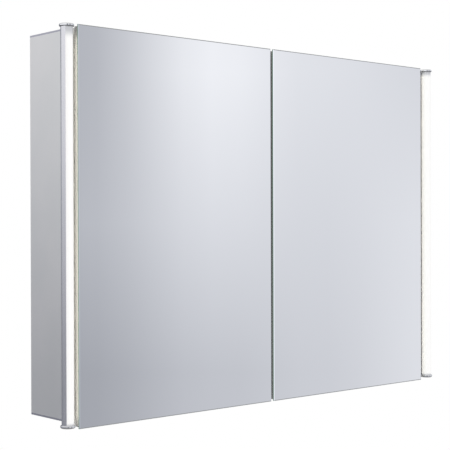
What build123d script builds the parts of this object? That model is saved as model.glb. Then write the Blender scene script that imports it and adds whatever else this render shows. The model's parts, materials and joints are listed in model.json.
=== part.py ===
from build123d import *
import os
from math import cos, radians, sin, tan

# Wall-hung bathroom cabinet with two mirror doors on slim frames and a vertical light tube at
# each front corner.  Millimetres.  The origin is the centre of the wall plane: +X to the right,
# +Y into the wall, +Z up, so the cabinet lies at negative Y and its doors face -Y.

# ---------------------------------------------------------------- driving dimensions
DOOR_HEIGHT = 650.0
DOOR_WIDTH = 425.5
DOOR_GAP = 6.5
DOOR_FACE_Y = -110.0
GLASS = 3.0
BOND = 0.4
BEVEL_WIDTH = 1.5
BEVEL_DEPTH = 0.6
FRAME_BACK_Y = -98.8
FRAME_WALL = 3.0
FRAME_HALF_HEIGHT = DOOR_HEIGHT / 2 - 3.0
MIRROR_PLAY = 0.3

BODY_HALF_WIDTH = 450.0
BODY_TOP_Z = 316.5
BODY_BOTTOM_Z = -312.0
BODY_FRONT_Y = -97.0
END_PANEL = 3.0
SIDE_PANEL = 2.0
BACK_PANEL = 3.0
DIVIDER = 10.0
STRIP_HALF_WIDTH = 20.0
STRIP = 3.0
CATCH_X = 14.0
CATCH_Z = (-60.0, 60.0)
BUFFER_Z = (-290.0, 290.0)

POST_WALL = 2.0
POST_LEG_Y = -84.0
LUG_INNER_X = 436.0
FLANGE_INNER_X = 416.0
FLANGE_FRONT_Y = -87.0

TUBE_X = 449.0
TUBE_Y = -107.0
TUBE_RADIUS = 10.0
TUBE_TOP_Z = 319.0
TUBE_BOTTOM_Z = -316.5
SHELL_WALL = 1.2
DIFFUSER_WALL = 1.5
SEAM_OUTER_DEG = 225.0
SEAM_INNER_DEG = 380.0
CAP_RADIUS = 12.1
CAP_THICKNESS = 4.6
CAP_END_ROUND = 2.2
CAP_TUBE_ROUND = 1.0
SPIGOT_RADIUS = 8.2
SPIGOT_LENGTH = 3.0
LIGHT_DEG = (SEAM_OUTER_DEG + SEAM_INNER_DEG) / 2
BOARD_WIDTH = 12.0
BOARD = 1.2
BOARD_SETBACK = 2.0
BOARD_TOP_Z = 298.0
BOARD_BOTTOM_Z = -311.5
CHIP_PITCH = 16.0
WIRE_EXIT_X = 442.5
WIRE_EXIT_Z = 307.0
WIRE_HOLE_RADIUS = 2.2
WIRE_RADIUS = 1.2

HINGE_X = 420.0
HINGE_Y = -98.5
HINGE_Z = 230.0
BARREL_RADIUS = 3.5
PIN_RADIUS = 1.75
ARM_BORE_RADIUS = 1.80
LEAF_BORE_RADIUS = 1.76
ARM_PLATE = 2.5
ARM_HALF_HEIGHT = 6.0
KNUCKLE_GAP = 0.3
KNUCKLE_END = 18.0
LEAF = 2.0
CRANK_INSET = 8.0
ARM_REACH_Y = -80.0
STUD_RADIUS = 2.0

TRAY_Z = 276.0
TRAY = 1.5
FASCIA_Y = -80.0

HOLE_PITCH = 32.0
HOLE_ROWS = 6
PEG_HOLE_RADIUS = 2.5
PEG_ROWS_Y = (-62.0, -26.0)
SHELF_ROWS = (-4, 2)
SHELF_GLASS = 5.0
SHELF_FRONT_Y = -78.0
SHELF_REAR_Y = -12.0
PEG_RISE = 3.0
PILASTER = 5.0
PILASTER_WIDTH = 12.0
PILASTER_HALF_HEIGHT = 200.0

FIXING_X = 400.0
FIXING_Z = 250.0
FIXING_RADIUS = 3.25
SENSOR_TOP_Z = -295.0
SENSOR_X = 432.0
SENSOR_Y = -28.0
LENS_RADIUS = 6.0
DUCT_X = 444.0
DUCT_Y = -7.0
DUCT_HALF = 4.0
DUCT_WALL = 1.0
CABLE_X = 130.0
CABLE_Z = 295.0
CABLE_BORE_RADIUS = 5.0
GROMMET_RADIUS = 9.0

DOOR_BACK_Y = DOOR_FACE_Y + 2 * GLASS + BOND
INNER_TOP_Z = BODY_TOP_Z - END_PANEL
INNER_BOTTOM_Z = BODY_BOTTOM_Z + END_PANEL
WALL_INNER_X = BODY_HALF_WIDTH - SIDE_PANEL


# ---------------------------------------------------------------- helpers
def block(x0, x1, y0, y1, z0, z1):
    """A box between two corners."""
    centre = Pos((x0 + x1) / 2, (y0 + y1) / 2, (z0 + z1) / 2)
    return centre * Box(abs(x1 - x0), abs(y1 - y0), abs(z1 - z0))


def rod(axis, radius, start, length):
    """A cylinder that starts at a point and runs along +X, +Y or +Z."""
    turn = {"x": Rot(0, 90, 0), "y": Rot(-90, 0, 0), "z": Rot(0, 0, 0)}[axis]
    along = (Align.CENTER, Align.CENTER, Align.MIN)
    return Pos(*start) * turn * Cylinder(radius, length, align=along)


def save(node, *solids):
    """Write one node: a single solid, or a group of separate solids."""
    shape = solids[0] if len(solids) == 1 else Compound(children=list(solids))
    export_step(shape, "parts/" + node + ".step")


def other_side(shape):
    """The same piece for the right-hand side."""
    return mirror(shape, about=Plane.YZ)


def save_pair(node, *left_solids):
    """Write a left-hand node and its right-hand mirror image."""
    save(node + "_left", *left_solids)
    save(node + "_right", *[other_side(solid) for solid in left_solids])


def save_both(node, *left_solids):
    """Write one group that holds the left-hand solids and their mirror images."""
    save(node, *left_solids, *[other_side(solid) for solid in left_solids])


def ring_sector(x, y, inner, outer, start_deg, end_deg):
    """A face between two arcs about the same centre."""
    outer_arc = CenterArc((x, y), outer, start_deg, end_deg - start_deg)
    inner_arc = CenterArc((x, y), inner, start_deg, end_deg - start_deg)
    first = Line(outer_arc @ 0, inner_arc @ 0)
    last = Line(outer_arc @ 1, inner_arc @ 1)
    return make_face([outer_arc, last, inner_arc, first])


def wire(points, radius, largest_bend):
    """A round wire along straight runs joined by arcs."""
    places = [Vector(*point) for point in points]
    bends = []
    for before, corner, after in zip(places, places[1:], places[2:]):
        arriving = corner - before
        leaving = after - corner
        turn = radians(arriving.get_angle(leaving))
        room = 0.45 * min(arriving.length, leaving.length) / tan(turn / 2)
        bends.append(min(room, largest_bend))
    path = FilletPolyline(*places, radius=bends)
    start = Plane(origin=path @ 0, z_dir=path % 0)
    return sweep(start * Circle(radius), path=path)


# ---------------------------------------------------------------- carcass
def end_panel(low_z):
    """Top or bottom panel, notched at the front corners where the doors' outer edges swing."""
    panel = block(-BODY_HALF_WIDTH, BODY_HALF_WIDTH, BODY_FRONT_Y, 0, low_z, low_z + END_PANEL)
    for side in (-1, 1):
        notch = block(side * (FLANGE_INNER_X - 1), side * LUG_INNER_X,
                      BODY_FRONT_Y - 1, FLANGE_FRONT_Y + POST_WALL, low_z - 1, low_z + END_PANEL + 1)
        panel -= notch
    return panel


def stud_places():
    """Where the hinge studs stand on a side wall, as (y, z) pairs."""
    places = []
    for hinge_z in (-HINGE_Z, HINGE_Z):
        places.append((-72.0, hinge_z + 12.0))
        places.append((-54.0, hinge_z - 12.0))
    return places


def side_panel():
    """Left side wall."""
    return block(-BODY_HALF_WIDTH, -WALL_INNER_X, BODY_FRONT_Y, 0, INNER_BOTTOM_Z, INNER_TOP_Z)


def back_panel():
    """Rear wall with four fixing holes and the cable hole."""
    panel = block(-WALL_INNER_X, WALL_INNER_X, -BACK_PANEL, 0,
                  INNER_BOTTOM_Z, INNER_TOP_Z)
    for x in (-FIXING_X, FIXING_X):
        for z in (-FIXING_Z, FIXING_Z):
            panel -= rod("y", FIXING_RADIUS, (x, -BACK_PANEL - 1, z), BACK_PANEL + 2)
    panel -= rod("y", GROMMET_RADIUS, (CABLE_X, -BACK_PANEL - 1, CABLE_Z), BACK_PANEL + 2)
    return panel


def fixing_plates():
    """Steel plates that spread the load of the four wall screws."""
    plates = []
    for x in (-FIXING_X, FIXING_X):
        for z in (-FIXING_Z, FIXING_Z):
            plate = block(x - 25, x + 25, -BACK_PANEL - 2, -BACK_PANEL, z - 20, z + 20)
            plate = fillet(plate.edges().filter_by(Axis.Y), 4)
            plate -= rod("y", FIXING_RADIUS, (x, -BACK_PANEL - 3, z), 4)
            plates.append(plate)
    return plates


def front_post():
    """Left front post: a lug behind the light tube, a step, and a flange behind the door edge.

    The flange runs through the end panels and is as tall as the door frame.
    """
    low, high = INNER_BOTTOM_Z, INNER_TOP_Z
    lug = block(-WALL_INNER_X, -LUG_INNER_X, BODY_FRONT_Y, BODY_FRONT_Y + POST_WALL, low, high)
    leg = block(-WALL_INNER_X, -WALL_INNER_X + POST_WALL, BODY_FRONT_Y, POST_LEG_Y, low, high)
    step = block(-LUG_INNER_X - POST_WALL, -LUG_INNER_X,
                 BODY_FRONT_Y, FLANGE_FRONT_Y + POST_WALL, low, high)
    flange = block(-LUG_INNER_X - POST_WALL, -FLANGE_INNER_X,
                   FLANGE_FRONT_Y, FLANGE_FRONT_Y + POST_WALL, low, high)
    flange += block(-LUG_INNER_X, -FLANGE_INNER_X, FLANGE_FRONT_Y, FLANGE_FRONT_Y + POST_WALL,
                    -FRAME_HALF_HEIGHT, FRAME_HALF_HEIGHT)
    post = lug + leg + step + flange
    return post - rod("y", WIRE_HOLE_RADIUS, (-WIRE_EXIT_X, BODY_FRONT_Y - 1, WIRE_EXIT_Z), 4)


def divider():
    """Centre partition with blind peg holes on both faces."""
    half = DIVIDER / 2
    board = block(-half, half, BODY_FRONT_Y + STRIP, -BACK_PANEL, INNER_BOTTOM_Z, TRAY_Z)
    for y in PEG_ROWS_Y:
        for row in range(-HOLE_ROWS, HOLE_ROWS + 1):
            z = row * HOLE_PITCH
            board -= rod("x", PEG_HOLE_RADIUS, (-half - 0.5, y, z), 4.9)
            board -= rod("x", PEG_HOLE_RADIUS, (half - 4.4, y, z), 4.9)
    return board


def divider_strip():
    """Front strip that both doors close against."""
    strip = block(-STRIP_HALF_WIDTH, STRIP_HALF_WIDTH, BODY_FRONT_Y, BODY_FRONT_Y + STRIP,
                  INNER_BOTTOM_Z, INNER_TOP_Z)
    return fillet(strip.edges().filter_by(Axis.Z), 0.8)


def pilasters():
    """The two drilled strips on the left wall that take the shelf pegs."""
    strips = []
    for y in PEG_ROWS_Y:
        strip = block(-WALL_INNER_X, -WALL_INNER_X + PILASTER, y - PILASTER_WIDTH / 2,
                      y + PILASTER_WIDTH / 2, -PILASTER_HALF_HEIGHT, PILASTER_HALF_HEIGHT)
        for row in range(-HOLE_ROWS, HOLE_ROWS + 1):
            strip -= rod("x", PEG_HOLE_RADIUS, (-WALL_INNER_X - 1, y, row * HOLE_PITCH), PILASTER + 2)
        strips.append(strip)
    return strips


def shelf_peg(root_x, inward, y, z):
    """A peg in its hole with a flat seat for the glass; inward is +1 or -1 along X."""
    peg = rod("x", PEG_HOLE_RADIUS - 0.05, (min(root_x, root_x - 4.0 * inward), y, z), 4.0)
    seat = block(root_x, root_x + 9.0 * inward, y - 4, y + 4, z - 2.5, z + PEG_RISE)
    seat = fillet(seat.edges().filter_by(Axis.X).group_by(Axis.Z)[0], 1.5)
    return peg + seat


def shelf_pegs():
    """Four pegs under each shelf of the left bay."""
    pegs = []
    for row in SHELF_ROWS:
        for y in PEG_ROWS_Y:
            z = row * HOLE_PITCH
            pegs.append(shelf_peg(-WALL_INNER_X + PILASTER, 1, y, z))
            pegs.append(shelf_peg(-DIVIDER / 2, -1, y, z))
    return pegs


def glass_shelf(row):
    """One glass shelf of the left bay with its long front edge rounded."""
    low_z = row * HOLE_PITCH + PEG_RISE
    shelf = block(-WALL_INNER_X + PILASTER + 1, -DIVIDER / 2 - 1, SHELF_FRONT_Y, SHELF_REAR_Y,
                  low_z, low_z + SHELF_GLASS)
    corners = shelf.edges().filter_by(Axis.Z).group_by(Axis.Y)[0]
    shelf = fillet(corners, 6)
    rim = shelf.faces().sort_by(Axis.Z)[-1].edges()
    return chamfer(rim, 0.6)


# ---------------------------------------------------------------- light tubes
def tube_shell():
    """Metal back of the left light tube, with the foot that sits on the front post."""
    section = ring_sector(-TUBE_X, TUBE_Y, TUBE_RADIUS - SHELL_WALL, TUBE_RADIUS,
                          SEAM_INNER_DEG - 360, SEAM_OUTER_DEG)
    foot = Pos(-TUBE_X + 4, BODY_FRONT_Y - 1.5) * Rectangle(10, 3)
    bore = Pos(-TUBE_X, TUBE_Y) * Circle(TUBE_RADIUS - SHELL_WALL)
    section = section + (foot - bore)
    shell = extrude(Pos(0, 0, TUBE_BOTTOM_Z) * section, TUBE_TOP_Z - TUBE_BOTTOM_Z, dir=(0, 0, 1))
    return shell - rod("y", 2.0, (-WIRE_EXIT_X, TUBE_Y + 4, WIRE_EXIT_Z), 8)


def tube_diffuser():
    """Opal front of the left light tube."""
    section = ring_sector(-TUBE_X, TUBE_Y, TUBE_RADIUS - DIFFUSER_WALL, TUBE_RADIUS,
                          SEAM_OUTER_DEG, SEAM_INNER_DEG)
    return extrude(Pos(0, 0, TUBE_BOTTOM_Z) * section, TUBE_TOP_Z - TUBE_BOTTOM_Z, dir=(0, 0, 1))


def tube_frame(z):
    """A plane at height z in the left tube whose local Y points the way the light leaves."""
    light = (cos(radians(LIGHT_DEG)), sin(radians(LIGHT_DEG)))
    return Plane(origin=(-TUBE_X, TUBE_Y, z), x_dir=(light[1], -light[0], 0), z_dir=(0, 0, 1))


def led_board():
    """Long circuit board of the left tube."""
    low = tube_frame(BOARD_BOTTOM_Z)
    section = Pos(0, -BOARD_SETBACK - BOARD / 2) * Rectangle(BOARD_WIDTH, BOARD)
    return extrude(low * section, BOARD_TOP_Z - BOARD_BOTTOM_Z, dir=(0, 0, 1))


def led_chips():
    """Row of light-emitting chips on the left board."""
    chips = []
    z = BOARD_BOTTOM_Z + CHIP_PITCH / 2
    while z < BOARD_TOP_Z - 4:
        section = Pos(0, -BOARD_SETBACK + 0.4) * Rectangle(2.8, 0.8)
        chips.append(extrude(tube_frame(z - 1.75) * section, 3.5, dir=(0, 0, 1)))
        z += CHIP_PITCH
    return chips


def tube_cap():
    """Polished cap of the left tube, at z = 0: a rounded disc on a spigot, with a screw seat."""
    disc = rod("z", CAP_RADIUS, (-TUBE_X, TUBE_Y, 0), CAP_THICKNESS)
    disc = fillet(disc.edges().group_by(Axis.Z)[-1], CAP_END_ROUND)
    disc = fillet(disc.edges().group_by(Axis.Z)[0], CAP_TUBE_ROUND)
    cap = disc + rod("z", SPIGOT_RADIUS, (-TUBE_X, TUBE_Y, -SPIGOT_LENGTH), SPIGOT_LENGTH + 1)
    cap -= rod("z", 1.6, (-TUBE_X, TUBE_Y, -SPIGOT_LENGTH - 1), 10)
    return cap - Pos(-TUBE_X, TUBE_Y, CAP_THICKNESS - 0.9) * Cone(1.6, 3.4, 1.8)


def cap_screw():
    """Cross-slotted countersunk screw of the left tube's cap, for a cap at z = 0."""
    top_z = CAP_THICKNESS
    screw = Pos(-TUBE_X, TUBE_Y, top_z - 0.95) * Cone(1.5, 3.3, 1.7)
    screw += rod("z", 1.5, (-TUBE_X, TUBE_Y, top_z - 7.0), 5.6)
    for turn in (0, 90):
        slot = Pos(-TUBE_X, TUBE_Y, top_z - 0.4) * Rot(0, 0, turn) * Box(4.8, 0.8, 0.8)
        screw -= slot
    return screw


def at_top(piece):
    """A cap piece moved to the tube's upper end."""
    return Pos(0, 0, TUBE_TOP_Z) * piece


def at_bottom(piece):
    """A cap piece turned over and moved to the tube's lower end."""
    return Pos(0, 0, TUBE_BOTTOM_Z) * mirror(piece, about=Plane.XY)


# ---------------------------------------------------------------- doors
def bevelled_mirror():
    """Front mirror of the left door: glass with a narrow polished bevel all round its face."""
    centre = Pos(-(DOOR_GAP + DOOR_WIDTH) / 2, 0, 0)
    seat = Plane.XZ.offset(-DOOR_FACE_Y - BEVEL_DEPTH)
    face = Plane.XZ.offset(-DOOR_FACE_Y)
    full = seat * Rectangle(DOOR_WIDTH, DOOR_HEIGHT)
    small = face * Rectangle(DOOR_WIDTH - 2 * BEVEL_WIDTH, DOOR_HEIGHT - 2 * BEVEL_WIDTH)
    plate = extrude(full, GLASS - BEVEL_DEPTH, dir=(0, 1, 0))
    return centre * (plate + loft([full, small]))


def door_frame():
    """Four bars behind the left front mirror: two upright stiles with two rails between them."""
    front_y = DOOR_FACE_Y + GLASS
    free_x = DOOR_GAP / 2
    outer_x = free_x + DOOR_WIDTH
    half = FRAME_HALF_HEIGHT
    bars = []
    for far_x, near_x in ((outer_x, outer_x - FRAME_WALL), (free_x + FRAME_WALL, free_x)):
        stile = block(-far_x, -near_x, front_y, FRAME_BACK_Y, -half, half)
        bars.append(chamfer(stile.edges().filter_by(Axis.Z).group_by(Axis.Y)[-1], 0.4))
    for low in (-half, half - FRAME_WALL):
        bars.append(block(-outer_x + FRAME_WALL, -free_x - FRAME_WALL,
                          front_y, FRAME_BACK_Y, low, low + FRAME_WALL))
    return bars


def door_sheet(front_y, thickness, play):
    """A flat layer inside the left door's frame, with some play all round."""
    outer = DOOR_GAP / 2 + DOOR_WIDTH - FRAME_WALL - play
    inner = DOOR_GAP / 2 + FRAME_WALL + play
    half = FRAME_HALF_HEIGHT - FRAME_WALL - play
    return block(-outer, -inner, front_y, front_y + thickness, -half, half)


def strike_plates():
    """Steel plates on the left door that the magnets pull on."""
    plates = []
    for z in CATCH_Z:
        plate = block(-CATCH_X - 6, -CATCH_X + 6, DOOR_BACK_Y, DOOR_BACK_Y + 1.2, z - 12, z + 12)
        plates.append(fillet(plate.edges().filter_by(Axis.Y), 2))
    return plates


def magnets():
    """Magnet pucks on the front strip that hold the left door shut."""
    pucks = []
    for z in CATCH_Z:
        puck = rod("y", 4.5, (-CATCH_X, DOOR_BACK_Y + 1.5, z), BODY_FRONT_Y - DOOR_BACK_Y - 1.5)
        front_rim = puck.edges().group_by(Axis.Y)[0]
        pucks.append(chamfer(front_rim, 0.5))
    return pucks


def buffers():
    """Soft buffers near the free corners of the left door."""
    pads = []
    for z in BUFFER_Z:
        pad = rod("y", 4.0, (-CATCH_X, DOOR_BACK_Y, z), BODY_FRONT_Y - DOOR_BACK_Y - 0.3)
        pads.append(fillet(pad.edges().group_by(Axis.Y)[-1], 1.2))
    return pads


# ---------------------------------------------------------------- hinges
def hinge_arm(hinge_z):
    """Cranked arm of a left hinge: barrel, crank past the post flange, and wall plate."""
    low, high = hinge_z - ARM_HALF_HEIGHT, hinge_z + ARM_HALF_HEIGHT
    crank_x = HINGE_X - CRANK_INSET
    barrel = rod("z", BARREL_RADIUS, (-HINGE_X, HINGE_Y, low), high - low)
    half = ARM_PLATE / 2
    nose = block(-HINGE_X, -crank_x, HINGE_Y - half, HINGE_Y + half, low, high)
    crank = block(-crank_x - ARM_PLATE, -crank_x, HINGE_Y - half, ARM_REACH_Y, low, high)
    reach = block(-WALL_INNER_X, -crank_x, ARM_REACH_Y - ARM_PLATE, ARM_REACH_Y, low, high)
    plate = block(-WALL_INNER_X, -WALL_INNER_X + ARM_PLATE, ARM_REACH_Y - ARM_PLATE, -45,
                  hinge_z - 20, hinge_z + 20)
    plate = fillet(plate.edges().filter_by(Axis.X), 2)
    arm = barrel + nose + crank + reach + plate
    arm -= rod("z", ARM_BORE_RADIUS, (-HINGE_X, HINGE_Y, low - 1), high - low + 2)
    for y, z in stud_places():
        if abs(z - hinge_z) < 20:
            arm -= rod("x", STUD_RADIUS + 0.15, (-WALL_INNER_X - 1, y, z), ARM_PLATE + 2)
    return arm


def hinge_leaf(hinge_z):
    """Leaf of a left hinge, bonded to the door, with two knuckles about the arm's barrel."""
    leaf = block(-HINGE_X - 5, -HINGE_X + 24, DOOR_BACK_Y, DOOR_BACK_Y + LEAF,
                 hinge_z - 25, hinge_z + 25)
    leaf = fillet(leaf.edges().filter_by(Axis.Y), 2.5)
    for side in (-1, 1):
        near = hinge_z + side * (ARM_HALF_HEIGHT + KNUCKLE_GAP)
        far = hinge_z + side * KNUCKLE_END
        leaf += rod("z", BARREL_RADIUS, (-HINGE_X, HINGE_Y, min(near, far)), abs(far - near))
        leaf += block(-HINGE_X - BARREL_RADIUS, -HINGE_X + BARREL_RADIUS,
                      DOOR_BACK_Y, HINGE_Y, near, far)
    window = ARM_HALF_HEIGHT + KNUCKLE_GAP
    leaf -= block(-HINGE_X - 6, -HINGE_X + 9.5, DOOR_BACK_Y - 1, HINGE_Y + 5,
                  hinge_z - window, hinge_z + window)
    return leaf - rod("z", LEAF_BORE_RADIUS, (-HINGE_X, HINGE_Y, hinge_z - 20), 40)


def hinge_pin(hinge_z):
    """Pin of a left hinge with a small head at each end."""
    pin = rod("z", PIN_RADIUS, (-HINGE_X, HINGE_Y, hinge_z - KNUCKLE_END - 1), 2 * KNUCKLE_END + 2)
    for low in (hinge_z - KNUCKLE_END - 1.2, hinge_z + KNUCKLE_END):
        pin += rod("z", 2.8, (-HINGE_X, HINGE_Y, low), 1.2)
    return pin


def hinge_studs():
    """Threaded studs on the left wall that carry the hinge arms."""
    return [rod("x", STUD_RADIUS, (-WALL_INNER_X, y, z), 7.0) for y, z in stud_places()]


def hinge_nuts():
    """Hexagon nuts on the left wall's studs."""
    nuts = []
    for y, z in stud_places():
        section = Plane.YZ.offset(-WALL_INNER_X + ARM_PLATE) * Pos(y, z) * (
            RegularPolygon(4.0, 6) - Circle(STUD_RADIUS + 0.02))
        nuts.append(extrude(section, 3.0, dir=(1, 0, 0)))
    return nuts


# ---------------------------------------------------------------- services
def service_tray():
    """Shelf of the electrical space under the top panel."""
    tray = block(-WALL_INNER_X + 2, WALL_INNER_X - 2, FASCIA_Y, -BACK_PANEL, TRAY_Z, TRAY_Z + TRAY)
    return tray - rod("z", WIRE_HOLE_RADIUS, (DUCT_X, DUCT_Y, TRAY_Z - 1), 4)


def service_fascia():
    """Front cover of the electrical space, with a wire hole near each end."""
    fascia = block(-WALL_INNER_X + 2, WALL_INNER_X - 2, FASCIA_Y, FASCIA_Y + TRAY,
                   TRAY_Z + TRAY, INNER_TOP_Z)
    for side in (-1, 1):
        fascia -= rod("y", WIRE_HOLE_RADIUS, (side * WIRE_EXIT_X, FASCIA_Y - 1, WIRE_EXIT_Z), 4)
    return fascia


def led_driver():
    """Constant-voltage driver with ribbed lid and fixing ears."""
    floor_z = TRAY_Z + TRAY
    case = block(-90, 90, -70, -28, floor_z, floor_z + 26)
    case = fillet(case.edges().filter_by(Axis.Z), 3)
    case = chamfer(case.faces().sort_by(Axis.Z)[-1].edges(), 1)
    for x in range(-70, 71, 10):
        case -= block(x - 2, x + 2, -62, -36, floor_z + 25, floor_z + 27)
    for side in (-1, 1):
        ear = block(side * 88, side * 102, -40, -28, floor_z, floor_z + 2)
        case += ear - rod("z", 2.0, (side * 96, -34, floor_z - 1), 4)
    return case


def terminal_block():
    """Three-way mains terminal block with screw wells."""
    floor_z = TRAY_Z + TRAY
    body = block(110, 150, -60, -38, floor_z, floor_z + 17)
    body = chamfer(body.faces().sort_by(Axis.Z)[-1].edges().filter_by(Axis.X), 2)
    for x in (118, 130, 142):
        body -= rod("z", 2.6, (x, -49, floor_z + 11), 8)
    return body


def driver_leads():
    """Three short leads from the terminal block to the driver."""
    return [rod("x", 1.1, (90, y, TRAY_Z + TRAY + 9), 20) for y in (-56.0, -51.0, -46.0)]


def tube_harness():
    """Low-voltage lead from the left board, through the post, to the driver."""
    setback = BOARD_SETBACK + BOARD / 2
    board_x = -TUBE_X - setback * cos(radians(LIGHT_DEG))
    board_y = TUBE_Y - setback * sin(radians(LIGHT_DEG))
    route = [
        (board_x, board_y, BOARD_TOP_Z),
        (board_x, board_y, WIRE_EXIT_Z),
        (-WIRE_EXIT_X, -100.5, WIRE_EXIT_Z),
        (-WIRE_EXIT_X, -62, WIRE_EXIT_Z),
        (-400, -66, 290),
        (-90, -66, 290),
    ]
    return wire(route, WIRE_RADIUS, 17.0)


def sensor_cable():
    """Lead from the sensor, up its duct, to the terminal block."""
    route = [
        (DUCT_X, DUCT_Y, SENSOR_TOP_Z),
        (DUCT_X, DUCT_Y, 288),
        (380, -30, 288),
        (200, -50, 286),
        (150, -50, 286),
    ]
    return wire(route, 1.5, 9.0)


def sensor_duct():
    """Square duct in the rear right corner that hides the sensor's lead."""
    bore = DUCT_HALF - DUCT_WALL
    duct = block(DUCT_X - DUCT_HALF, DUCT_X + DUCT_HALF, DUCT_Y - DUCT_HALF, DUCT_Y + DUCT_HALF,
                 SENSOR_TOP_Z, TRAY_Z)
    return duct - block(DUCT_X - bore, DUCT_X + bore, DUCT_Y - bore, DUCT_Y + bore,
                        SENSOR_TOP_Z - 1, TRAY_Z + 1)


def sensor_housing():
    """Housing of the proximity switch on the bottom panel."""
    housing = block(SENSOR_X - 16, WALL_INNER_X, SENSOR_Y - 16, -BACK_PANEL,
                    INNER_BOTTOM_Z, SENSOR_TOP_Z)
    top_edges = housing.faces().sort_by(Axis.Z)[-1].edges()
    return chamfer(top_edges, 1)


def sensor_lens():
    """Lens of the proximity switch, just proud of the underside."""
    lens = rod("z", LENS_RADIUS, (SENSOR_X, SENSOR_Y, BODY_BOTTOM_Z - 1), END_PANEL + 1)
    return fillet(lens.edges().group_by(Axis.Z)[0], 0.8)


def cable_grommet():
    """Grommet that the mains cable enters by."""
    ring = rod("y", GROMMET_RADIUS - 0.02, (CABLE_X, -BACK_PANEL, CABLE_Z), BACK_PANEL)
    ring += rod("y", GROMMET_RADIUS + 3, (CABLE_X, -BACK_PANEL - 2.5, CABLE_Z), 2.5)
    ring = fillet(ring.edges().group_by(Axis.Y)[0], 1.0)
    return ring - rod("y", CABLE_BORE_RADIUS, (CABLE_X, -BACK_PANEL - 4, CABLE_Z), 8)


# ---------------------------------------------------------------- write every node
os.makedirs("parts", exist_ok=True)

lens_hole = rod("z", LENS_RADIUS + 0.05, (SENSOR_X, SENSOR_Y, BODY_BOTTOM_Z - 1), END_PANEL + 2)
save("top_panel", end_panel(INNER_TOP_Z))
save("bottom_panel", end_panel(BODY_BOTTOM_Z) - lens_hole)
save_pair("side_panel", side_panel())
save("back_panel", back_panel())
save("wall_fixing_plates", *fixing_plates())
save("centre_divider", divider())
save("divider_front_strip", divider_strip())
save_pair("front_post", front_post())
save_both("shelf_pilasters", *pilasters())
save_both("shelf_pegs", *shelf_pegs())
for level, row in zip(("lower", "upper"), SHELF_ROWS):
    save_pair("glass_shelf_" + level, glass_shelf(row))

save_pair("tube_shell", tube_shell())
save_pair("tube_diffuser", tube_diffuser())
save_pair("tube_cap_top", at_top(tube_cap()))
save_pair("tube_cap_bottom", at_bottom(tube_cap()))
save_both("tube_cap_screws", at_top(cap_screw()), at_bottom(cap_screw()))
save_pair("led_board", led_board())
save_both("led_chips", *led_chips())

save_pair("front_mirror", bevelled_mirror())
save_pair("door_frame", *door_frame())
save_pair("bonding_film", door_sheet(DOOR_FACE_Y + GLASS, BOND, 2.0))
save_pair("inner_mirror", door_sheet(DOOR_FACE_Y + GLASS + BOND, GLASS, MIRROR_PLAY))
save_pair("hinge_arms", *[hinge_arm(z) for z in (-HINGE_Z, HINGE_Z)])
save_pair("hinge_leaves", *[hinge_leaf(z) for z in (-HINGE_Z, HINGE_Z)])
save_pair("hinge_pins", *[hinge_pin(z) for z in (-HINGE_Z, HINGE_Z)])
save_both("hinge_studs", *hinge_studs())
save_both("hinge_nuts", *hinge_nuts())
save_both("catch_magnets", *magnets())
save_pair("strike_plates", *strike_plates())
save_pair("door_buffers", *buffers())

save("service_tray", service_tray())
save("service_fascia", service_fascia())
save("led_driver", led_driver())
save("terminal_block", terminal_block())
save("driver_leads", *driver_leads())
save_both("tube_harness", tube_harness())
save("sensor_cable", sensor_cable())
save("sensor_duct", sensor_duct())
save("sensor_housing", sensor_housing())
save("sensor_lens", sensor_lens())
save("cable_grommet", cable_grommet())
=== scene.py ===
import bpy
import json
from math import cos, pi, radians, sin
from mathutils import Matrix, Vector


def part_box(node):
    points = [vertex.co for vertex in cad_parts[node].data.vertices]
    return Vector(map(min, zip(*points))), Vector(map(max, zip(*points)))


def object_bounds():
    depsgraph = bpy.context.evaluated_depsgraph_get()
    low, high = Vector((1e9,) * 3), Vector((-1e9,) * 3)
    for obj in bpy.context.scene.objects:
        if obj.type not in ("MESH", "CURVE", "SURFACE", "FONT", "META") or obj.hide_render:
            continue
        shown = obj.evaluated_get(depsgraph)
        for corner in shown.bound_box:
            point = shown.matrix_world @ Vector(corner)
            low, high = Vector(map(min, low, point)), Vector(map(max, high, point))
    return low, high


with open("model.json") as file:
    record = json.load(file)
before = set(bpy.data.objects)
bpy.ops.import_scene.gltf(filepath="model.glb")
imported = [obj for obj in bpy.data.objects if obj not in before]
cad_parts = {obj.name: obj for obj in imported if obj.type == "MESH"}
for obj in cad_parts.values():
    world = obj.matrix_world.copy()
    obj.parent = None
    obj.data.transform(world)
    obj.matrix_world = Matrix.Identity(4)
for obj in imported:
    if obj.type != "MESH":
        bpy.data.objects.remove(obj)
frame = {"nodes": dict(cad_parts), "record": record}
cad_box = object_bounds()

MM = 0.001

MIRROR_REFLECTANCE = 0.91
MIRROR_FACE = 0.97     # a normal this near to front or back belongs to the silvered face
BEVEL_FACE = 0.5       # one between the two belongs to the bevel, and one below it to the edge
END_BEVEL = 0.2        # a bevel tilted this far up or down runs along the top or the bottom
SHELF_FACE = 0.9       # a shelf normal steeper than this belongs to its top or underside
# The tilt at which painted shade starts on the chrome's downward faces, and the one from which it is
# darkest.
CHROME_SHADE_TILTS = (0.02, -0.5)

LIGHT_DEG = 302.5      # where the left tube is brightest, counted from +X
LAMP_SEEN = 0.42       # its strength where a camera or a reflection sees it
LAMP_THROWN = 5.2      # its strength where it lights something else
LEFT_TOP_FADE = 21 * MM
RIGHT_TOP_FADE = 12 * MM
BOTTOM_FADE = 5 * MM
UNLIT_SHARE = 0.25     # the part of the top fade that is dark
SEAM_AHEAD = 0.15      # how far the diffuser faces the brightest direction beside its seams
CHIPS_AHEAD = 0.7      # and from where on it is at full strength
SEAM_LIGHT = 0.8       # its share of that strength beside the seams

NOISE_ROUGHNESS = 0.55

FLOOR_RADIUS = 2.6
FLOOR_CENTRE_Y = -0.06
FLOOR_DROP = 0.9
FLOOR_RINGS = 10
FLOOR_STEPS = 72

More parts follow.
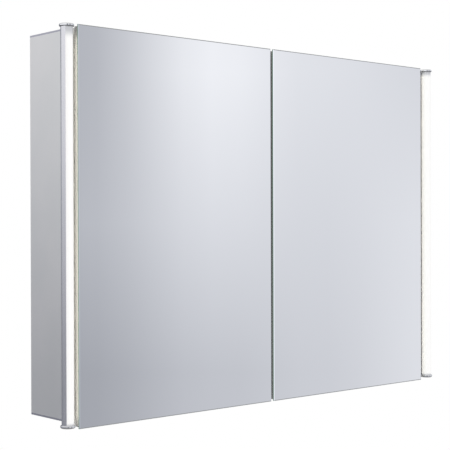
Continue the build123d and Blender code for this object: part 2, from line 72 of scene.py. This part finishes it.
KEY_PLACE = (-1.2, -2.6, 2.6)
KEY_TARGET = (0.0, -0.05, 0.0)
KEY_SIZE = 1.8
KEY_WATTS = 25.0

CAMERA_LENS = 93.565
CAMERA_PLACE = (-1.4928, -1.6711, 0.0117)
CAMERA_YAW = radians(41.40)
CAMERA_PITCH = radians(-0.292)
CAMERA_ROLL = radians(-0.159)

# The studio round the object: degrees from straight ahead of the doors, positive to the right, and
# the brightness above, level with and below the object.
SURROUNDINGS = (
    (-180, 150, 150, 130),  # the wall side
    (-160, 160, 160, 140),
    (-140, 245, 200, 145),  # soft wash on the left side panel
    (-40, 250, 200, 150),
    (-20, 130, 130, 120),   # narrow dark flag: the line down the polished caps
    (-9, 190, 185, 175),
    (-2, 255, 250, 240),    # narrow front softbox: the doors' left bevels
    (6, 200, 195, 185),
    (20, 165, 160, 150),
    (34, 180, 185, 165),    # dim corner seen in the left door
    (41, 240, 220, 195),    # large softbox seen across the seam
    (46, 225, 215, 205),
    (52, 215, 225, 225),    # pale right side seen in the right door
    (100, 185, 180, 170),
    (180, 150, 150, 130),
)
# How steeply a direction points where the lower, the middle and the upper brightness hold.
LOWER_Z = -0.13
MIDDLE_Z = -0.003
UPPER_Z = 0.124
CEILING_Z = (0.2, 0.8)
CEILING_LEVEL = 225
UNDER_Z = (-0.2, -0.7)
UNDER_LEVEL = 150
# Darker surroundings are a little bluer: the least blue, and its rise over 100 levels.
COOL_LEAST = 0.04
COOL_RISE = 0.08


# ---------------------------------------------------------------- node helpers
def linear(level):
    """A screen brightness from 0 to 255 as linear light."""
    share = level / 255
    return share / 12.92 if share <= 0.04045 else ((share + 0.055) / 1.055) ** 2.4


def tint(level, red=1.0, green=1.0, blue=1.0):
    """A linear colour from a screen brightness and a tint."""
    light = linear(level)
    return (light * red, light * green, light * blue, 1.0)


class Graph:
    """Short calls for one node tree."""

    def __init__(self, tree):
        self.tree = tree
        self.nodes = tree.nodes
        self.nodes.clear()

    def node(self, kind, inputs=None, **settings):
        made = self.nodes.new(kind)
        for name, value in settings.items():
            setattr(made, name, value)
        for name, value in (inputs or {}).items():
            self.put(made.inputs[name], value)
        return made

    def put(self, socket, value):
        if isinstance(value, bpy.types.NodeSocket):
            self.tree.links.new(value, socket)
        else:
            socket.default_value = value

    def math(self, operation, *values):
        made = self.node("ShaderNodeMath", operation=operation)
        for place, value in enumerate(values):
            self.put(made.inputs[place], value)
        return made.outputs[0]

    def ramp(self, factor, stops):
        made = self.node("ShaderNodeValToRGB", {"Fac": factor})
        band = made.color_ramp
        band.interpolation = "EASE"
        while len(band.elements) < len(stops):
            band.elements.new(0.5)
        for element, (place, colour) in zip(band.elements, stops):
            element.position = place
            element.color = colour
        return made.outputs["Color"]

    def remap(self, value, low, high, new_low=0.0, new_high=1.0, smooth=False):
        kind = "SMOOTHSTEP" if smooth else "LINEAR"
        made = self.node("ShaderNodeMapRange", interpolation_type=kind, clamp=True)
        for place, item in enumerate((value, low, high, new_low, new_high)):
            self.put(made.inputs[place], item)
        return made.outputs[0]

    def mix(self, factor, first, second):
        made = self.node("ShaderNodeMix", data_type="RGBA")
        self.put(made.inputs[0], factor)
        self.put(made.inputs[6], first)
        self.put(made.inputs[7], second)
        return made.outputs[2]

    def place(self, scale):
        """Object coordinates, stretched."""
        made = self.node("ShaderNodeTexCoord")
        stretched = self.node("ShaderNodeMapping", {"Vector": made.outputs["Object"], "Scale": scale})
        return stretched.outputs[0]

    def noise(self, scale, stretch=(1.0, 1.0, 1.0), detail=3.0):
        made = self.node("ShaderNodeTexNoise",
                         {"Vector": self.place(stretch), "Scale": scale,
                          "Detail": detail, "Roughness": NOISE_ROUGHNESS})
        return made.outputs["Fac"]

    def bump(self, height, depth, strength):
        return self.node("ShaderNodeBump",
                         {"Height": height, "Distance": depth, "Strength": strength}).outputs[0]

    def facing(self):
        """The surface's own normal in object space, as three numbers."""
        made = self.node("ShaderNodeTexCoord")
        return self.node("ShaderNodeSeparateXYZ", {"Vector": made.outputs["Normal"]}).outputs

    def where(self):
        """The object coordinates as three numbers."""
        made = self.node("ShaderNodeTexCoord")
        return self.node("ShaderNodeSeparateXYZ", {"Vector": made.outputs["Object"]}).outputs


def material(name):
    """A new node material: its graph, its shader and itself."""
    made = bpy.data.materials.new(name)
    made.use_nodes = True
    graph = Graph(made.node_tree)
    shader = graph.node("ShaderNodeBsdfPrincipled")
    graph.node("ShaderNodeOutputMaterial", {"Surface": shader.outputs[0]})
    return made, graph, shader


def wear(graph, colour, darker, scale=9.0):
    """Slow colour variation between two close colours."""
    cloud = graph.remap(graph.noise(scale, detail=4.0), 0.3, 0.7, smooth=True)
    return graph.mix(cloud, colour, darker)


# ---------------------------------------------------------------- materials
def anodised(name, level, rough, grain_stretch, blue=1.0, metallic=1.0):
    """Satin anodised aluminium: fine grain along the extrusion, faint cloudiness.

    With metallic at 0 it is a matt coat with the same grain.
    """
    made, graph, shader = material(name)
    grain = graph.noise(2600.0, grain_stretch, detail=2.0)
    cloud = graph.noise(5.0, detail=3.0)
    colour = graph.mix(graph.remap(cloud, 0.35, 0.65, smooth=True),
                       tint(level, 1.0, 0.98, blue), tint(level - 5, 1.0, 0.99, blue + 0.01))
    graph.put(shader.inputs["Base Color"], colour)
    shader.inputs["Metallic"].default_value = metallic
    graph.put(shader.inputs["Roughness"], graph.remap(grain, 0.2, 0.8, rough - 0.05, rough + 0.05))
    graph.put(shader.inputs["Normal"], graph.bump(grain, 0.02 * MM, 0.5))
    return made


def powder_coat(name, level):
    """Light grey powder coat with a fine orange peel."""
    made, graph, shader = material(name)
    peel = graph.noise(900.0, detail=2.0)
    graph.put(shader.inputs["Base Color"], wear(graph, tint(level, 0.99, 1.0, 1.01), tint(level - 4)))
    graph.put(shader.inputs["Roughness"], graph.remap(peel, 0.3, 0.7, 0.38, 0.48))
    graph.put(shader.inputs["Normal"], graph.bump(peel, 0.03 * MM, 0.6))
    return made


def steel(name, level, rough, warm=1.0):
    """Plated steel with fine marks and slightly uneven plating."""
    made, graph, shader = material(name)
    marks = graph.noise(1800.0, detail=3.0)
    plating = wear(graph, tint(level, warm, 1.0, 1.0 / warm), tint(level - 14), 60.0)
    graph.put(shader.inputs["Base Color"], plating)
    shader.inputs["Metallic"].default_value = 1.0
    graph.put(shader.inputs["Roughness"], graph.remap(marks, 0.25, 0.75, rough - 0.06, rough + 0.08))
    graph.put(shader.inputs["Normal"], graph.bump(marks, 0.02 * MM, 0.6))
    return made


def chrome():
    """Polished chrome with the faintest polishing haze, and painted shade where it faces down."""
    made, graph, shader = material("polished_chrome")
    haze = graph.noise(400.0, detail=3.0)
    bright = wear(graph, tint(240, 1.0, 1.0, 1.01), tint(232), 120.0)
    # Painted shade: the base colour turns dark where the normal points down, standing in for the shade
    # under the caps.
    under = graph.remap(graph.facing()[2], *CHROME_SHADE_TILTS, smooth=True)
    graph.put(shader.inputs["Base Color"], graph.mix(under, bright, tint(92, 1.0, 0.98, 0.97)))
    shader.inputs["Metallic"].default_value = 1.0
    graph.put(shader.inputs["Roughness"], graph.remap(haze, 0.3, 0.7, 0.04, 0.09))
    return made


def mirror_glass(name, edge_level, edge_painted_glow):
    """Silvered glass: mirror on its broad faces, polished bevel with painted shade along the top and
    bottom, ground green edge with a painted glow.
    """
    made, graph, shader = material(name)
    normal = graph.facing()
    broad = graph.math("ABSOLUTE", normal[1])
    is_mirror = graph.math("GREATER_THAN", broad, MIRROR_FACE)
    is_bevel = graph.math("GREATER_THAN", broad, BEVEL_FACE)
    is_edge = graph.math("SUBTRACT", 1.0, is_bevel)
    is_end = graph.math("GREATER_THAN", graph.math("ABSOLUTE", normal[2]), END_BEVEL)
    silver = (MIRROR_REFLECTANCE, MIRROR_REFLECTANCE, MIRROR_REFLECTANCE, 1.0)
    # Painted shade: the bevels along the top and bottom take a darker colour than the side bevels,
    # though all are the same polished glass.
    bevel = graph.mix(is_end, tint(250, 0.98, 1.0, 1.02), tint(172, 0.97, 1.0, 1.02))
    streak = graph.remap(graph.noise(420.0, (1.0, 1.0, 0.2)), 0.3, 0.7)
    edge = graph.mix(streak, tint(edge_level, 0.85, 1.0, 0.90), tint(edge_level - 8, 0.80, 1.0, 0.88))
    colour = graph.mix(is_bevel, edge, bevel)
    graph.put(shader.inputs["Base Color"], graph.mix(is_mirror, colour, silver))
    graph.put(shader.inputs["Metallic"], is_bevel)
    film = graph.remap(graph.noise(14.0, detail=5.0), 0.35, 0.75, 0.0, 0.012)
    ground = graph.math("MULTIPLY", is_edge, 0.16)
    graph.put(shader.inputs["Roughness"], graph.math("MAXIMUM", film, ground))
    # Painted glow: the edges emit a faint green light of their own, standing in for the tubes' light
    # piped through the glass.
    shader.inputs["Emission Color"].default_value = (0.70, 1.0, 0.84, 1.0)
    graph.put(shader.inputs["Emission Strength"], graph.math("MULTIPLY", is_edge, edge_painted_glow))
    return made


def shelf_glass():
    """Clear float glass, green through its long edges."""
    made, graph, shader = material("shelf_glass")
    normal = graph.facing()
    broad = graph.math("GREATER_THAN", graph.math("ABSOLUTE", normal[2]), SHELF_FACE)
    graph.put(shader.inputs["Base Color"],
              graph.mix(broad, (0.30, 0.62, 0.50, 1.0), (0.93, 0.98, 0.96, 1.0)))
    smear = graph.remap(graph.noise(18.0, detail=4.0), 0.3, 0.75, 0.0, 0.03)
    graph.put(shader.inputs["Roughness"], smear)
    shader.inputs["IOR"].default_value = 1.5
    shader.inputs["Transmission Weight"].default_value = 0.92
    return made


def opal(side, top_fade, bottom_fade):
    """Opal diffuser: brightest in front of the chips, softer at its seams, fading at its ends.

    It has two strengths, so that its light doesn't bleed white over its neighbours.
    """
    made, graph, shader = material("opal_diffuser_" + side)
    low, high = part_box("tube_diffuser_" + side)
    height = graph.where()[2]
    top = graph.remap(height, high.z - top_fade, high.z - UNLIT_SHARE * top_fade, 1.0, 0.0, smooth=True)
    bottom = graph.remap(height, low.z, low.z + bottom_fade, 0.0, 1.0, smooth=True)
    lit = graph.math("MULTIPLY", top, bottom)
    mirrored = 1.0 if side == "left" else -1.0
    normal = graph.facing()
    along = graph.math("MULTIPLY", normal[0], mirrored * cos(radians(LIGHT_DEG)))
    ahead = graph.math("MULTIPLY_ADD", normal[1], sin(radians(LIGHT_DEG)), along)
    full = graph.remap(ahead, SEAM_AHEAD, CHIPS_AHEAD, SEAM_LIGHT, 1.0, smooth=True)
    lit = graph.math("MULTIPLY", lit, full)
    frost = graph.noise(700.0, detail=2.0)
    shader.inputs["Base Color"].default_value = tint(226, 1.0, 1.0, 1.01)
    graph.put(shader.inputs["Roughness"], graph.remap(frost, 0.3, 0.7, 0.30, 0.40))
    graph.put(shader.inputs["Normal"], graph.bump(frost, 0.01 * MM, 0.4))
    shader.inputs["Emission Color"].default_value = (1.0, 0.97, 0.88, 1.0)
    rays = graph.node("ShaderNodeLightPath").outputs
    seen = graph.math("MAXIMUM", rays["Is Camera Ray"], rays["Is Glossy Ray"])
    level = graph.remap(seen, 0.0, 1.0, LAMP_THROWN, LAMP_SEEN)
    graph.put(shader.inputs["Emission Strength"], graph.math("MULTIPLY", lit, level))
    return made


def plastic(name, colour, darker, rough, depth=0.03):
    """Moulded plastic or rubber with a spark-eroded texture."""
    made, graph, shader = material(name)
    spark = graph.noise(1400.0, detail=2.0)
    graph.put(shader.inputs["Base Color"], wear(graph, colour, darker, 40.0))
    graph.put(shader.inputs["Roughness"], graph.remap(spark, 0.3, 0.7, rough - 0.05, rough + 0.07))
    graph.put(shader.inputs["Normal"], graph.bump(spark, depth * MM, 0.6))
    return made


def circuit_board():
    """White solder mask with copper-shadowed tracks along its length."""
    made, graph, shader = material("circuit_board")
    tracks = graph.noise(300.0, (1.0, 1.0, 0.05), detail=1.0)
    graph.put(shader.inputs["Base Color"],
              graph.mix(graph.math("GREATER_THAN", tracks, 0.56), tint(236), tint(205, 1.0, 0.98, 0.90)))
    graph.put(shader.inputs["Roughness"], graph.remap(tracks, 0.3, 0.7, 0.3, 0.42))
    return made


# ---------------------------------------------------------------- dress the CAD nodes
def dress():
    """Give every CAD node the material of its slot."""
    across = (1.0, 1.0, 0.03)
    makers = {
        "anodised_aluminium": anodised("anodised_aluminium", 242, 0.34, across, 0.95),
        "post_aluminium": anodised("post_aluminium", 235, 0.42, across, 0.94, 0.0),
        "frame_aluminium": anodised("frame_aluminium", 164, 0.48, across, 0.93, 0.0),
        "anodised_edge": anodised("anodised_edge", 192, 0.30, (0.03, 1.0, 1.0), 1.08),
        "rail_aluminium": anodised("rail_aluminium", 214, 0.30, across),
        "tube_shell": anodised("tube_shell", 226, 0.20, across),
        "painted_liner": powder_coat("painted_liner", 226),
        "plated_steel": steel("plated_steel", 208, 0.30),
        "bright_steel": steel("bright_steel", 224, 0.22),
        "magnet_nickel": steel("magnet_nickel", 216, 0.18, warm=1.02),
        "polished_chrome": chrome(),
        "shelf_glass": shelf_glass(),
        "circuit_board": circuit_board(),
        "led_phosphor": plastic("led_phosphor", tint(244, 1.0, 0.94, 0.45),
                                tint(236, 1.0, 0.92, 0.40), 0.25),
        "bonding_film": plastic("bonding_film", tint(96), tint(82), 0.5),
        "clear_rubber": plastic("clear_rubber", tint(214), tint(204), 0.35),
        "driver_case": plastic("driver_case", tint(232), tint(224), 0.45),
        "wire_insulation": plastic("wire_insulation", tint(228), tint(214), 0.4),
        "sensor_window": plastic("sensor_window", tint(42, 1.0, 0.85, 1.05), tint(34), 0.12, depth=0.0),
        "black_rubber": plastic("black_rubber", tint(48), tint(38), 0.55),
    }
    mirrors = {
        # The front mirror's edges are dark green, partly the glass's own edge colour and partly painted
        # shade of the seam between the doors, with a stronger painted glow; the inner mirror's edges are
        # lighter with a faint painted glow.
        "front": mirror_glass("mirror_glass_front", 66, 0.22),
        "inner": mirror_glass("mirror_glass_inner", 178, 0.02),
    }
    lights = {
        "left": opal("left", LEFT_TOP_FADE, BOTTOM_FADE),
        "right": opal("right", RIGHT_TOP_FADE, BOTTOM_FADE),
    }
    for entry in frame["record"]["subparts"]:
        node = frame["nodes"][entry["node"]]
        slot = entry["material_slot"]
        if slot == "opal_diffuser":
            chosen = lights["left" if entry["node"].endswith("left") else "right"]
        elif slot == "mirror_glass":
            chosen = mirrors["front" if entry["node"].startswith("front") else "inner"]
        else:
            chosen = makers[slot]
        node.data.materials.clear()
        node.data.materials.append(chosen)


# ---------------------------------------------------------------- stage, light, camera
def floor():
    """A plain pale floor well below the cabinet, as under a cabinet on a wall."""
    points = [(0.0, 0.0, 0.0)]
    faces = []
    for ring in range(1, FLOOR_RINGS + 1):
        reach = FLOOR_RADIUS * ring / FLOOR_RINGS
        for step in range(FLOOR_STEPS):
            turn = 2 * pi * step / FLOOR_STEPS
            points.append((reach * cos(turn), reach * sin(turn), 0.0))
    for step in range(FLOOR_STEPS):
        faces.append((0, 1 + step, 1 + (step + 1) % FLOOR_STEPS))
    for ring in range(FLOOR_RINGS - 1):
        here = 1 + ring * FLOOR_STEPS
        there = here + FLOOR_STEPS
        for step in range(FLOOR_STEPS):
            follow = (step + 1) % FLOOR_STEPS
            faces.append((here + step, there + step, there + follow, here + follow))
    mesh = bpy.data.meshes.new("floor")
    mesh.from_pydata(points, [], faces)
    disc = bpy.data.objects.new("floor", mesh)
    disc.location = (0.0, FLOOR_CENTRE_Y, cad_box[0][2] - FLOOR_DROP)
    bpy.context.scene.collection.objects.link(disc)
    made, graph, shader = material("floor_paint")
    graph.put(shader.inputs["Base Color"], wear(graph, tint(240), tint(238), 2.0))
    graph.put(shader.inputs["Roughness"], graph.remap(graph.noise(30.0), 0.3, 0.7, 0.55, 0.7))
    mesh.materials.append(made)


def studio():
    """A backdrop that is plain white to the camera, and the lit surroundings to all else."""
    world = bpy.data.worlds.new("studio")
    bpy.context.scene.world = world
    world.use_nodes = True
    graph = Graph(world.node_tree)
    ray = graph.node("ShaderNodeTexCoord").outputs["Generated"]
    x, y, z = graph.node("ShaderNodeSeparateXYZ", {"Vector": ray}).outputs
    # Azimuth from straight ahead of the doors, positive to the right, as a share of a turn.
    azimuth = graph.math("ARCTAN2", x, graph.math("MULTIPLY", y, -1.0))
    share = graph.math("MULTIPLY_ADD", azimuth, 1 / (2 * pi), 0.5)

    def backdrop(height):
        """The surroundings' brightness at one height, round the whole horizon."""
        stops = []
        for degrees, *levels in SURROUNDINGS:
            level = levels[height]
            light = linear(level) / MIRROR_REFLECTANCE
            cool = COOL_LEAST + COOL_RISE * (255 - level) / 100
            colour = (light * (1 - cool / 3), light, light * (1 + cool), 1.0)
            stops.append((0.5 + degrees / 360, colour))
        return graph.ramp(share, stops)

    upper, middle, lower = backdrop(0), backdrop(1), backdrop(2)
    below = graph.mix(graph.remap(z, LOWER_Z, MIDDLE_Z), lower, middle)
    around = graph.mix(graph.remap(z, MIDDLE_Z, UPPER_Z), below, upper)
    ceiling = graph.remap(z, *CEILING_Z, smooth=True)
    under = graph.remap(z, *UNDER_Z, smooth=True)
    dome = graph.mix(under, graph.mix(ceiling, around, tint(CEILING_LEVEL)), tint(UNDER_LEVEL))
    direct = graph.node("ShaderNodeLightPath").outputs["Is Camera Ray"]
    seen = graph.mix(direct, dome, (1.0, 1.0, 1.0, 1.0))
    background = graph.node("ShaderNodeBackground", {"Color": seen, "Strength": 1.0})
    graph.node("ShaderNodeOutputWorld", {"Surface": background.outputs[0]})


def soft_light(name, place, target, size, watts):
    """A large soft lamp aimed at a point and not seen itself."""
    data = bpy.data.lights.new(name, "AREA")
    data.shape = "DISK"
    data.size = size
    data.energy = watts
    lamp = bpy.data.objects.new(name, data)
    lamp.location = place
    lamp.rotation_euler = (Vector(target) - Vector(place)).to_track_quat("-Z", "Y").to_euler()
    lamp.visible_glossy = False
    lamp.visible_camera = False
    bpy.context.scene.collection.objects.link(lamp)


def camera():
    """Three-quarter view from the left at mid height."""
    data = bpy.data.cameras.new("camera")
    data.sensor_width = 36.0
    data.lens = CAMERA_LENS
    data.clip_end = 50.0
    made = bpy.data.objects.new("camera", data)
    level = cos(CAMERA_PITCH)
    ahead = Vector((sin(CAMERA_YAW) * level, cos(CAMERA_YAW) * level, sin(CAMERA_PITCH)))
    level_right = Vector((cos(CAMERA_YAW), -sin(CAMERA_YAW), 0.0))
    level_up = level_right.cross(ahead)
    right = level_right * cos(CAMERA_ROLL) + level_up * sin(CAMERA_ROLL)
    up = level_up * cos(CAMERA_ROLL) - level_right * sin(CAMERA_ROLL)
    turned = Matrix((right, up, -ahead)).transposed()
    made.matrix_world = Matrix.Translation(CAMERA_PLACE) @ turned.to_4x4()
    bpy.context.scene.collection.objects.link(made)
    bpy.context.scene.camera = made


dress()
floor()
studio()
soft_light("key", KEY_PLACE, KEY_TARGET, KEY_SIZE, KEY_WATTS)
camera()
bpy.context.scene.view_settings.view_transform = "Standard"
